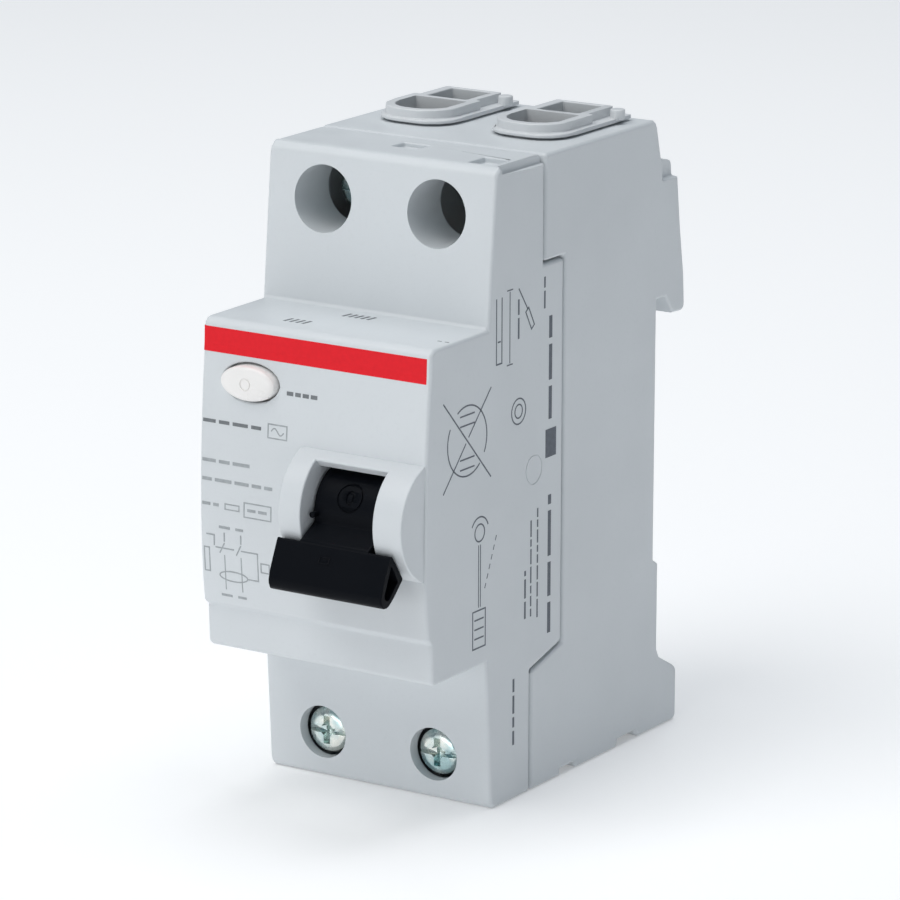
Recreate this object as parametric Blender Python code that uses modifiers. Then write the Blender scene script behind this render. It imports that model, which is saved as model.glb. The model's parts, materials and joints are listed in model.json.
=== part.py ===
"""Residual current device, two modules wide, for a 35 mm DIN rail.

Every length in this file is in millimetres and the helpers turn it into metres.
+X is the device's right side seen from the front, +Y its back, +Z its top.
The origin is the centre of the face that seats on the rail.
The device stands in its off position: handle down, contacts open, clamps open.
"""

import math

import bmesh
import bpy
from mathutils import Matrix, Vector

MM = 0.001
GAP = 0.3

# Housing
WIDTH = 35.0
HALF_WIDTH = WIDTH / 2
TOP = 42.5
BOTTOM = -42.5
WALL = 1.5
INNER_HALF = HALF_WIDTH - WALL
EDGE_ROUND = 0.5
POLE = 8.75
NOSE_TOP = 21.9
NOSE_BOTTOM = -22.2
NOSE_FRONT = -56.7
NOSE_BULGE_Z = -4.5
NOSE_INNER = -54.0
PARTING_TOP = -28.6
PARTING_MIDDLE = -23.7
PARTING_BOTTOM = -31.4
PARTING_STEP_Z = 28.2
PARTING_RAMP_Z = (-23.9, -25.95)
HALF_GAP = GAP / 2
REAR_WALL_INNER = -2.2
CHAMBER_TOP = (24.7, 41.0)
CHAMBER_MIDDLE = (-23.6, 23.5)
CHAMBER_BOTTOM = (-40.8, -25.2)
POLE_WALL_HALF = 0.8

# Rail recess
RAIL_TOP = 17.8
RAIL_BOTTOM = -18.3
HOOK_BACK = 7.5
FOOT_BACK = 6.5
LATCH_FACE = 1.2

# Handle
HANDLE_Y = -53.7
HANDLE_Z = -0.5
HANDLE_SWING = 70.0
DRUM_RADIUS = 5.4
DRUM_ROOM_RADIUS = 6.7
HOOD_RADIUS = 8.1
HOOD_X = (-1.6, 17.2)
OPENING_X = (1.8, 12.8)
OPENING_BACK = -53.5
GRIP_X = (-1.3, 15.9)
GRIP_TOP = (-62.1, -3.2)
GRIP_FRONT = (-64.8, -9.15)
GRIP_BOTTOM = (-62.95, -10.45)
GRIP_HEEL = (-59.4, -7.0)
CRANK_RADIUS = 5.0
CRANK_BOSS_RADIUS = 1.4
CRANK_ANGLE = HANDLE_SWING / 2
LINK_X = (3.4, 4.8)
LINK_PIN_RADIUS = 1.0
LINK_HALF_HEIGHT = 1.9
AXLE_RADIUS = 1.25

# Contact carrier, drawn with the contacts closed and then turned open
CARRIER_Y = -12.7
CARRIER_Z = -2.0
CARRIER_SWING = 17.2
CARRIER_LEVER = 19.2
CARRIER_HUB = 3.2
CONTACT_REACH = 16.25
CONTACT_FACE = -18.9
PAD_RADIUS = 2.1

# Terminals
SCREW_Z_UPPER = 35.75
SCREW_Z_LOWER = -36.3
SCREW_HEAD_RADIUS = 3.3
SCREW_HEAD_HEIGHT = 2.2
SCREW_SHANK_RADIUS = 2.4
HOLE_RADIUS_UPPER = 4.4
HOLE_RADIUS_LOWER = 3.6
HEAD_FACE = {"upper_left": -32.7, "upper_right": -30.7, "lower_left": -40.5, "lower_right": -40.5}
BAR_FRONT = -21.6
BAR_BACK = -20.1
BAR_HALF_WIDTH = 3.9
CAGE_HALF_WIDTH = 5.3
CAGE_HALF_HEIGHT = 4.2
CAGE_FRONT = -24.0
CAGE_BACK = -3.4
LOWER_ENTRY_X = 4.35
LOWER_BUSBAR_X = 3.5
COLLAR_TOP = 44.5
COLLAR_ENTRY_X = 4.1
COLLAR_BUSBAR_X = 3.15

# Test circuit
TEST_X = -9.8
TEST_Z = 14.2
TEST_FACE = -56.9
TEST_HALF = (4.2, 2.3)

# Residual current transformer and trip relay
CORE_CENTRE = (0.0, -12.5, -16.6)
CORE_RADII = (5.0, 9.6)
CORE_HALF_HEIGHT = 4.4
TRIP_Y = -28.0
TRIP_Z = -10.0
TRIP_PIN_RADIUS = 1.0
RELAY_Z = -16.5
RELAY_X = -9.8


for leftover in list(bpy.data.objects):
    bpy.data.objects.remove(leftover)

PARTS = bpy.data.collections.new("residual_current_device")
TOOLS = bpy.data.collections.new("shaping_tools")
for made in (PARTS, TOOLS):
    bpy.context.scene.collection.children.link(made)


def finish(name, colour, roughness, metallic=0.0):
    """A plain Principled material."""
    made = bpy.data.materials.new(name)
    made.use_nodes = True
    shader = made.node_tree.nodes["Principled BSDF"]
    shader.inputs["Base Color"].default_value = (*colour, 1.0)
    shader.inputs["Roughness"].default_value = roughness
    shader.inputs["Metallic"].default_value = metallic
    return made


HOUSING_GREY = finish("housing_grey", (0.60, 0.63, 0.65), 0.45)
HANDLE_BLACK = finish("handle_black", (0.012, 0.013, 0.016), 0.35)
BUTTON_IVORY = finish("button_ivory", (0.85, 0.84, 0.80), 0.4)
ZINC = finish("zinc", (0.62, 0.66, 0.66), 0.3, 1.0)
COPPER = finish("copper", (0.72, 0.36, 0.2), 0.35, 1.0)
SPRING_STEEL = finish("spring_steel", (0.5, 0.5, 0.5), 0.3, 1.0)
FRAME_STEEL = finish("frame_steel", (0.55, 0.56, 0.57), 0.4, 1.0)
INSULATOR = finish("insulator", (0.09, 0.09, 0.1), 0.5)
RELAY_BLUE = finish("relay_case", (0.12, 0.2, 0.32), 0.45)
FERRITE = finish("core_alloy", (0.16, 0.16, 0.17), 0.5, 0.6)
RESISTOR = finish("resistor", (0.35, 0.5, 0.55), 0.5)


def place_mesh(name, mesh, material=None):
    """A part when it has a material, otherwise a hidden tool."""
    made = bpy.data.objects.new(name, mesh)
    if material is None:
        TOOLS.objects.link(made)
        made.hide_render = True
        made.display_type = "WIRE"
    else:
        PARTS.objects.link(made)
        mesh.materials.append(material)
    return made


def place_bmesh(name, built, material):
    mesh = bpy.data.meshes.new(name)
    bmesh.ops.recalc_face_normals(built, faces=built.faces)
    built.to_mesh(mesh)
    built.free()
    return place_mesh(name, mesh, material)


def block(name, x, y, z, material=None):
    """A box between two values on each axis."""
    low = Vector((min(x), min(y), min(z))) * MM
    high = Vector((max(x), max(y), max(z))) * MM
    built = bmesh.new()
    bmesh.ops.create_cube(built, size=1.0)
    bmesh.ops.scale(built, vec=high - low, verts=built.verts)
    bmesh.ops.translate(built, vec=(low + high) / 2, verts=built.verts)
    return place_bmesh(name, built, material)


def rod(name, radius, start, end, material=None, segments=24):
    """A round bar between two points."""
    start, end = Vector(start) * MM, Vector(end) * MM
    turn = (end - start).to_track_quat("Z", "Y").to_matrix().to_4x4()
    built = bmesh.new()
    bmesh.ops.create_cone(
        built,
        cap_ends=True,
        segments=segments,
        radius1=radius * MM,
        radius2=radius * MM,
        depth=(end - start).length,
        matrix=Matrix.Translation((start + end) / 2) @ turn,
    )
    made = place_bmesh(name, built, material)
    made.data.shade_smooth()
    made.data.set_sharp_from_angle(angle=math.radians(40))
    return made


def rod_x(name, radius, x, y, z, material=None, segments=24):
    return rod(name, radius, (x[0], y, z), (x[1], y, z), material, segments)


def rod_y(name, radius, x, y, z, material=None, segments=24):
    return rod(name, radius, (x, y[0], z), (x, y[1], z), material, segments)


def rounded(corners, steps=4):
    """The points of a closed outline whose corners are (u, v, radius)."""
    points = []
    for index, (u, v, radius) in enumerate(corners):
        corner = Vector((u, v))
        if radius == 0:
            points.append(corner)
            continue
        before = (Vector(corners[index - 1][:2]) - corner).normalized()
        after = (Vector(corners[(index + 1) % len(corners)][:2]) - corner).normalized()
        half = before.angle(after) / 2
        centre = corner + (before + after).normalized() * radius / math.sin(half)
        first = corner + before * radius / math.tan(half) - centre
        last = corner + after * radius / math.tan(half) - centre
        for step in range(steps + 1):
            along = first.lerp(last, step / steps)
            points.append(centre + along.normalized() * radius)
    return points


TURNS = {
    "X": (math.radians(90), 0.0, math.radians(90)),
    "Y": (math.radians(90), 0.0, 0.0),
    "Z": (0.0, 0.0, 0.0),
}


def plate(name, corners, axis, span, material=None, steps=4, edge=0.0):
    """An outline given in (Y, Z), (X, Z) or (X, Y) and pulled along the remaining axis."""
    curve = bpy.data.curves.new(name + "_outline", "CURVE")
    curve.dimensions = "2D"
    curve.fill_mode = "BOTH"
    curve.extrude = abs(span[1] - span[0]) / 2 * MM
    points = rounded(corners, steps)
    spline = curve.splines.new("POLY")
    spline.points.add(len(points) - 1)
    spline.use_cyclic_u = True
    for point, (u, v) in zip(spline.points, points):
        point.co = (u * MM, v * MM, 0.0, 1.0)
    drawn = bpy.data.objects.new(name + "_outline", curve)
    drawn.rotation_euler = TURNS[axis]
    drawn.location["XYZ".index(axis)] = (span[0] + span[1]) / 2 * MM
    PARTS.objects.link(drawn)
    depsgraph = bpy.context.evaluated_depsgraph_get()
    mesh = bpy.data.meshes.new_from_object(drawn.evaluated_get(depsgraph))
    built = bmesh.new()
    built.from_mesh(mesh)
    bmesh.ops.remove_doubles(built, verts=built.verts, dist=1e-6)
    bmesh.ops.dissolve_limit(
        built, angle_limit=math.radians(0.2), verts=built.verts, edges=built.edges
    )
    bmesh.ops.recalc_face_normals(built, faces=built.faces)
    built.to_mesh(mesh)
    built.free()
    mesh.name = name
    mesh.materials.clear()
    made = place_mesh(name, mesh, material)
    made.matrix_world = drawn.matrix_world
    bpy.data.objects.remove(drawn)
    if edge:
        rounding = made.modifiers.new("edge_round", "BEVEL")
        rounding.width = edge * MM
        rounding.segments = 2
        rounding.limit_method = "ANGLE"
        rounding.angle_limit = math.radians(60)
        rounding.use_clamp_overlap = False
    return made


def shape(part, operation, tools):
    for tool in tools:
        change = part.modifiers.new(tool.name, "BOOLEAN")
        change.operation = operation
        change.solver = "EXACT"
        change.object = tool


def cut(part, *tools):
    shape(part, "DIFFERENCE", tools)


def fuse(part, *tools):
    shape(part, "UNION", tools)


def spring(name, radius, wire, turns, start, end, material=SPRING_STEEL, per_turn=7):
    """A coil spring between two points."""
    start, end = Vector(start) * MM, Vector(end) * MM
    curve = bpy.data.curves.new(name, "CURVE")
    curve.dimensions = "3D"
    curve.bevel_depth = wire * MM
    curve.bevel_resolution = 2
    curve.use_fill_caps = True
    count = int(turns * per_turn) + 1
    spline = curve.splines.new("POLY")
    spline.points.add(count - 1)
    for index, point in enumerate(spline.points):
        angle = math.tau * index / per_turn
        rise = (end - start).length * index / (count - 1)
        point.co = (radius * math.cos(angle) * MM, radius * math.sin(angle) * MM, rise, 1.0)
    curve.materials.append(material)
    made = bpy.data.objects.new(name, curve)
    made.rotation_euler = (end - start).to_track_quat("Z", "Y").to_euler()
    made.location = start
    PARTS.objects.link(made)
    return made


def conductor(name, radius, route, material=COPPER):
    """A round conductor along a smooth route through the given points."""
    curve = bpy.data.curves.new(name, "CURVE")
    curve.dimensions = "3D"
    curve.bevel_depth = radius * MM
    curve.bevel_resolution = 2
    curve.use_fill_caps = True
    spline = curve.splines.new("POLY")
    spline.points.add(len(route) - 1)
    for point, place in zip(spline.points, route):
        point.co = (*(Vector(place) * MM), 1.0)
    curve.materials.append(material)
    made = bpy.data.objects.new(name, curve)
    PARTS.objects.link(made)
    return made


def hang_on(pivot, *children):
    """Children drawn about the pivot's own origin ride on it."""
    for child in children:
        child.parent = pivot


def move_origin(part, place):
    """Put a part's origin on its joint axis without moving the part."""
    place = Vector(place) * MM
    inverse = part.matrix_world.inverted()
    part.data.transform(Matrix.Translation(-(inverse @ place)))
    part.matrix_world = Matrix.Translation(place - part.matrix_world.translation) @ part.matrix_world


def nose_face(z):
    """Y of the gently crowned front face at a height."""
    rise = (z - NOSE_BULGE_Z) / 24.5 if z > NOSE_BULGE_Z else (z - NOSE_BULGE_Z) / 16.5
    return NOSE_FRONT + 1.4 * rise * rise


def stadium(first, last, radius):
    """A round-ended slot outline between two centres on the first axis."""
    corner = radius * 0.98
    return [(first - radius, -radius, corner), (last + radius, -radius, corner),
            (last + radius, radius, corner), (first - radius, radius, corner)]


def oval(x, z, half_x, half_z, count=24):
    """An elliptical outline."""
    turns = [math.tau * index / count for index in range(count)]
    return [(x + half_x * math.cos(turn), z + half_z * math.sin(turn), 0) for turn in turns]


def arched(x, back, front, radius, corner=0.4):
    """A plan outline with two large front corners."""
    return [(x[0], back, corner), (x[0], front, radius), (x[1], front, radius), (x[1], back, corner)]


def sides():
    """Name and sign of the two poles."""
    return (("left", -1), ("right", 1))


def about_pole(sign, half):
    """X span centred on a pole."""
    return sign * POLE - half, sign * POLE + half


def make_base_housing():
    front_top = PARTING_TOP + HALF_GAP
    front_middle = PARTING_MIDDLE + HALF_GAP
    front_bottom = PARTING_BOTTOM + HALF_GAP
    outline = [
        (front_top, TOP, 0),
        (front_top, PARTING_STEP_Z + HALF_GAP, 0),
        (front_middle, PARTING_STEP_Z + HALF_GAP, 0),
        (front_middle, PARTING_RAMP_Z[0] - HALF_GAP, 0),
        (front_bottom, PARTING_RAMP_Z[1] - HALF_GAP, 0),
        (front_bottom, BOTTOM, 0),
        (-23.7, BOTTOM, 0),
        (-23.7, -41.6, 0),
        (-20.0, -41.6, 0),
        (-20.0, BOTTOM, 0),
        (-9.0, BOTTOM, 0),
        (-9.0, -41.5, 0),
        (-4.6, -41.5, 0),
        (-3.5, BOTTOM, 0),
        (FOOT_BACK, BOTTOM, 0.8),
        (FOOT_BACK, -35.0, 1.2),
        (1.9, -32.5, 0.8),
        (LATCH_FACE, -31.2, 0.6),
        (LATCH_FACE, -19.0, 0.6),
        (0.0, RAIL_BOTTOM, 0),
        (0.0, RAIL_TOP, 0),
        (2.4, RAIL_TOP, 0.6),
        (4.2, 15.2, 0),
        (HOOK_BACK, 15.0, 0.9),
        (7.2, 20.0, 0),
        (6.1, 27.0, 0),
        (5.0, 36.0, 0.8),
        (0.8, 37.0, 0),
        (-0.6, TOP, 1.2),
    ]
    width = (-HALF_WIDTH, HALF_WIDTH)
    base = plate("base_housing", outline, "X", width, HOUSING_GREY, 3, EDGE_ROUND)
    room = (front_bottom - 2, REAR_WALL_INNER)
    bar_way = (-22.0, -19.7)
    under = (-43.0, -40.5)
    tools = [block("middle_chamber", (-INNER_HALF, INNER_HALF), room, CHAMBER_MIDDLE)]
    for side, sign in sides():
        inner = (sign * POLE_WALL_HALF, sign * INNER_HALF)
        bar = about_pole(sign, BAR_HALF_WIDTH + 0.4)
        entry = about_pole(sign, LOWER_ENTRY_X)
        busbar = about_pole(sign, LOWER_BUSBAR_X)
        seat = arched(about_pole(sign, 5.1 + GAP), -3.7 + GAP, -20.7 - GAP, 4.2 + GAP, 0.3 + GAP)
        tools += [
            block("upper_chamber_" + side, inner, room, CHAMBER_TOP),
            block("lower_chamber_" + side, inner, room, CHAMBER_BOTTOM),
            block("upper_bar_window_" + side, bar, bar_way, (23.0, 25.0)),
            block("lower_bar_window_" + side, bar, bar_way, (-25.6, -23.2)),
            plate("collar_seat_" + side, seat, "Z", (40.5, 43.0)),
            block("cable_entry_" + side, entry, (-19.5, -10.8), under),
            block("busbar_entry_" + side, busbar, (-9.9, -4.6), under),
            block("hook_pocket_" + side, (sign * 1.5, sign * 15.5), (2.0, 4.2), (19.5, 40.0)),
            block("hook_notch_" + side, (sign * 16.4, sign * 18.5), (1.0, 5.6), (33.9, 36.7)),
        ]
    tools += [
        block("latch_channel", (-6.1, 6.1), (LATCH_FACE, 8.0), (-43.0, -30.0)),
        block("latch_groove", (-7.4, 7.4), (1.8, 3.2), (-43.0, -31.5)),
    ]
    cut(base, *tools)
    fuse(base, block("latch_spring_stop", (-1.6, 1.6), (0.6, 3.0), (-33.4, -32.0)))


def make_front_cover():
    rear_top = PARTING_TOP - HALF_GAP
    rear_middle = PARTING_MIDDLE - HALF_GAP
    rear_bottom = PARTING_BOTTOM - HALF_GAP
    face = [(nose_face(z), z, 0) for z in (18.5, 13.0, 7.5, 2.0, -3.5, -9.0, -13.0)]
    outline = [
        (rear_top, TOP, 0),
        (-40.2, TOP, 1.5),
        (-42.1, NOSE_TOP, 0),
        (-55.35, NOSE_TOP, 1.2),
        *face,
        (nose_face(-15.9), -15.9, 0),
        (-55.3, -16.5, 0),
        (-54.9, NOSE_BOTTOM, 0.8),
        (-42.2, NOSE_BOTTOM, 0),
        (-41.0, BOTTOM, 1.0),
        (rear_bottom, BOTTOM, 0),
        (rear_bottom, PARTING_RAMP_Z[1] + HALF_GAP, 0),
        (rear_middle, PARTING_RAMP_Z[0] + HALF_GAP, 0),
        (rear_middle, PARTING_STEP_Z - HALF_GAP, 0),
        (rear_top, PARTING_STEP_Z - HALF_GAP, 0),
    ]
    width = (-HALF_WIDTH, HALF_WIDTH)
    cover = plate("front_cover", outline, "X", width, HOUSING_GREY, 3, EDGE_ROUND)
    tools = [block("nose_room", (-INNER_HALF, INNER_HALF), (NOSE_INNER, -22.0), (-20.7, 20.4))]
    bosses = []
    holes = []
    for side, sign in sides():
        inner = (sign * POLE_WALL_HALF, sign * INNER_HALF)
        pole = sign * POLE
        tools += [
            block("upper_room_" + side, inner, (-38.9, -22.0), (22.9, 40.9)),
            block("lower_room_" + side, inner, (-39.6, -22.0), (-40.8, -24.0)),
            block("top_notch_" + side, (sign * 16.7, sign * 18.5), (-39.0, -28.0), (41.3, 43.0)),
        ]
        bosses.append(rod_y("screw_boss_" + side, 5.4, pole, (-39.6, -33.0), SCREW_Z_UPPER))
        holes += [
            rod_y("upper_hole_" + side, HOLE_RADIUS_UPPER, pole, (-44.0, -30.0), SCREW_Z_UPPER),
            rod_y("lower_hole_" + side, HOLE_RADIUS_LOWER, pole, (-44.0, -37.0), SCREW_Z_LOWER),
        ]
    hood = rod_x("handle_hood", HOOD_RADIUS, HOOD_X, HANDLE_Y, HANDLE_Z, None, 48)
    # The hood's lip slopes from (-58.2, 6.2) in to (-57.1, 5.2); the lower lip is short.
    mouth = [(-55.05, 3.27, 0), (-61.35, 9.21, 0), (-68.0, 0.0, 0), (-57.9, -9.1, 0), (-56.3, -6.4, 0)]
    test_hole = oval(TEST_X, TEST_Z, TEST_HALF[0] + GAP, TEST_HALF[1] + GAP)
    holes += [
        rod_x("handle_room", DRUM_ROOM_RADIUS, OPENING_X, HANDLE_Y, HANDLE_Z, None, 48),
        plate("handle_mouth", mouth, "X", OPENING_X),
        block("handle_rear", OPENING_X, (OPENING_BACK, -44.0), (-9.6, 8.6)),
        rod_x("axle_bore", AXLE_RADIUS + GAP, (0.0, 14.6), HANDLE_Y, HANDLE_Z, None, 16),
        plate("test_hole", test_hole, "Y", (-60.0, -52.0)),
        block("top_pocket", (12.0, 15.8), (-38.5, -34.5), (41.7, 43.0)),
        block("top_recess", (-2.0, 2.0), (-35.0, -32.0), (41.8, 43.0)),
    ]
    cut(cover, *tools)
    fuse(cover, *bosses, hood)
    cut(cover, *holes)


def make_terminal_collars():
    through = (40.0, 46.0)
    for side, sign in sides():
        pole = sign * POLE
        rim = arched(about_pole(sign, 5.3), -11.2, -21.6, 4.6)
        back_rim = arched(about_pole(sign, 4.4), -4.6, -12.4, 0.4)
        flange = arched((pole - 5.5, pole + 6.2), -2.9, -22.1, 4.2)
        skirt = arched(about_pole(sign, 5.1), -3.7, -20.7, 4.2, 0.3)
        entry = arched(about_pole(sign, COLLAR_ENTRY_X), -12.8, -20.2, 3.5, 0.2)
        busbar = about_pole(sign, COLLAR_BUSBAR_X)
        collar = plate("terminal_collar_" + side, rim, "Z", (43.0, COLLAR_TOP), HOUSING_GREY)
        fuse(
            collar,
            plate("collar_back_" + side, back_rim, "Z", (43.0, COLLAR_TOP)),
            plate("collar_flange_" + side, flange, "Z", (TOP + GAP, 43.3)),
            plate("collar_skirt_" + side, skirt, "Z", (41.1, 43.15)),
            rod("collar_ear_" + side, 1.0, (pole + 5.9, -6.1, 43.1), (pole + 5.9, -6.1, COLLAR_TOP)),
        )
        cut(
            collar,
            plate("collar_cable_" + side, entry, "Z", through),
            block("collar_busbar_" + side, busbar, (-11.6, -5.2), through),
        )


def make_rail_latch():
    front = LATCH_FACE + GAP
    outline = [
        (front, -41.9, 0.4),
        (6.2, -41.9, 0.6),
        (6.2, -37.6, 0.6),
        (3.4, -36.4, 0),
        (3.4, -17.6, 0),
        (2.6, -15.4, 0.4),
        (front, -15.4, 0),
    ]
    latch = plate("rail_latch", outline, "X", (-5.7, 5.7), HOUSING_GREY)
    fuse(latch, block("latch_wings", (-7.0, 7.0), (2.1, 2.9), (-41.5, -32.2)))
    cut(
        latch,
        block("latch_spring_window", (-2.0, 2.0), (0.0, 5.0), (-36.9, -24.0)),
        block("latch_driver_slot", (-2.5, 2.5), (4.6, 8.0), (-40.6, -38.9)),
    )
    move_origin(latch, (0.0, 2.5, -28.0))
    spring("rail_latch_spring", 0.9, 0.18, 6, (0.0, 2.6, -31.4), (0.0, 2.6, -24.6))


def crank_pin():
    """Crank pin's Y and Z with the handle down."""
    angle = math.radians(CRANK_ANGLE)
    return HANDLE_Y + CRANK_RADIUS * math.cos(angle), HANDLE_Z + CRANK_RADIUS * math.sin(angle)


def make_handle():
    drum_x = (OPENING_X[0] + GAP, OPENING_X[1] - GAP)
    lever = rod_x("toggle_lever", DRUM_RADIUS, drum_x, HANDLE_Y, HANDLE_Z, HANDLE_BLACK, 48)
    stem = [
        (-58.7, -1.4, 0),
        (*GRIP_TOP, 0),
        (-63.2, -7.0, 0),
        (*GRIP_HEEL, 0),
        (-56.0, -5.5, 0),
        (-54.0, 0.0, 0),
    ]
    grip = [(*GRIP_TOP, 0.3), (*GRIP_FRONT, 1.33), (*GRIP_BOTTOM, 1.33), (*GRIP_HEEL, 0.3)]
    hollow = [(-62.0, -4.6, 0.2), (-63.7, -8.5, 0.6), (-62.8, -9.3, 0.6), (-60.5, -7.1, 0.2)]
    slot_x = (LINK_X[0] - GAP, LINK_X[1] + GAP)
    boss_x = (drum_x[0], slot_x[1] + 1.2)
    pin_x = (slot_x[0] - 0.5, slot_x[1] + 0.5)
    pin_y, pin_z = crank_pin()
    slot_y = (HANDLE_Y + 1.75, HANDLE_Y + 9.0)
    slot_z = (HANDLE_Z - 8.0, HANDLE_Z + 8.0)
    stop_x = drum_x[0] + 0.45
    fuse(
        lever,
        plate("handle_stem", stem, "X", drum_x),
        plate("handle_grip", grip, "X", GRIP_X),
        rod_x("crank_boss", CRANK_BOSS_RADIUS, boss_x, pin_y, pin_z, None, 16),
        rod_y("stop_nub", 0.4, stop_x, (-60.1, -58.6), HANDLE_Z, None, 12),
    )
    cut(
        lever,
        block("link_slot", slot_x, slot_y, slot_z),
        rod_x("handle_bore", AXLE_RADIUS + GAP, (0.0, 15.0), HANDLE_Y, HANDLE_Z, None, 16),
        rod_x("spring_pocket", 3.4, (drum_x[1] - 2.4, 15.0), HANDLE_Y, HANDLE_Z, None, 16),
        plate("grip_hollow_left", hollow, "X", (GRIP_X[0] - 1.0, GRIP_X[0] + 3.0)),
        plate("grip_hollow_right", hollow, "X", (GRIP_X[1] - 4.0, GRIP_X[1] + 1.0)),
    )
    fuse(lever, rod_x("crank_pin", LINK_PIN_RADIUS, pin_x, pin_y, pin_z, None, 12))
    move_origin(lever, (0.0, HANDLE_Y, HANDLE_Z))
    rod_x("toggle_axle", AXLE_RADIUS, (0.3, 14.3), HANDLE_Y, HANDLE_Z, SPRING_STEEL, 16)
    spring(
        "toggle_spring", 2.4, 0.25, 3,
        (drum_x[1] - 1.9, HANDLE_Y, HANDLE_Z), (drum_x[1] - 0.3, HANDLE_Y, HANDLE_Z),
    )


def carrier_lever_end(swing):
    """Y and Z of the carrier's lever pin; swing is -0.5 with the contacts open, 0.5 with them closed."""
    angle = math.radians(CARRIER_SWING * swing)
    return CARRIER_Y - CARRIER_LEVER * math.cos(angle), CARRIER_Z - CARRIER_LEVER * math.sin(angle)


def make_drive_link():
    pin_y, pin_z = crank_pin()
    end_y, end_z = carrier_lever_end(-0.5)
    reach = math.hypot(end_y - pin_y, end_z - pin_z)
    near = reach - 1.3
    hole = LINK_PIN_RADIUS + GAP
    body = stadium(0.0, reach, LINK_HALF_HEIGHT)
    slot = stadium(near, reach, hole)
    link = plate("drive_link", body, "X", LINK_X, FRAME_STEEL)
    tools = [
        rod_x("link_eye", hole, (LINK_X[0] - 1, LINK_X[1] + 1), 0.0, 0.0, None, 12),
        plate("link_slot_far", slot, "X", (LINK_X[0] - 1, LINK_X[1] + 1)),
    ]
    cut(link, *tools)
    pivot = bpy.data.objects.new("drive_link_pivot", None)
    PARTS.objects.link(pivot)
    pivot.location = (0.0, pin_y * MM, pin_z * MM)
    pivot.rotation_euler.x = math.atan2(end_z - pin_z, end_y - pin_y)
    hang_on(pivot, link, *tools)


def make_contact_carrier():
    """Everything here is drawn about the carrier's axle with the contacts closed."""
    half_swing = math.radians(CARRIER_SWING / 2)
    end = Vector((-math.cos(half_swing), -math.sin(half_swing))) * CARRIER_LEVER
    square = Vector((-end.y, end.x)).normalized() * 1.9
    tip = end + end.normalized() * 1.9
    hub_x = (-13.6, 13.6)
    lever_x = (2.2, 6.0)
    slot_x = (LINK_X[0] - GAP, LINK_X[1] + GAP)
    root = square * 1.4
    lever = [(*root, 0), (*(tip + square), 1.4), (*(tip - square), 1.4), (*(-root), 0)]
    carrier = rod_x("contact_carrier", CARRIER_HUB, hub_x, 0.0, 0.0, INSULATOR)
    pieces = [
        plate("carrier_lever", lever, "X", lever_x),
        block("carrier_wall", hub_x, (-0.6, 2.6), (0.0, 12.0)),
    ]
    slot_y = (end.x - 4.0, end.x + 4.5)
    slot_z = (end.y - 4.0, end.y + 4.0)
    pin_x = (slot_x[0] - 0.5, slot_x[1] + 0.5)
    slot = block("carrier_slot", slot_x, slot_y, slot_z)
    bore = rod_x("carrier_bore", AXLE_RADIUS + GAP, (-14.0, 14.0), 0.0, 0.0, None, 16)
    pin = rod_x("carrier_pin", LINK_PIN_RADIUS, pin_x, end.x, end.y, None, 12)
    fuse(carrier, *pieces)
    cut(carrier, slot, bore)
    fuse(carrier, pin)
    riders = [carrier, *pieces, slot, bore, pin]
    pad_front = CONTACT_FACE - CARRIER_Y
    arm_front = pad_front + 1.3
    arm_back = arm_front + 1.4
    for side, sign in sides():
        pole = sign * POLE
        width = about_pole(sign, 2.2)
        pad_y = (pad_front, arm_front + 0.4)
        arm = block("moving_contact_" + side, width, (arm_front, arm_back), (-5.5, 20.0), COPPER)
        pad = rod_y("moving_pad_" + side, PAD_RADIUS, pole, pad_y, CONTACT_REACH, None, 12)
        fuse(arm, pad)
        coil = spring(
            "contact_spring_" + side, 1.5, 0.25, 3, (pole, arm_back + 0.6, 7.5), (pole, -1.2, 7.5)
        )
        riders += [arm, pad, coil]
    pivot = bpy.data.objects.new("carrier_pivot", None)
    PARTS.objects.link(pivot)
    pivot.location = (0.0, CARRIER_Y * MM, CARRIER_Z * MM)
    pivot.rotation_euler.x = -math.radians(CARRIER_SWING)
    hang_on(pivot, *riders)
    rod_x("carrier_axle", AXLE_RADIUS, (-15.7, 15.7), CARRIER_Y, CARRIER_Z, SPRING_STEEL, 16)


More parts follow.
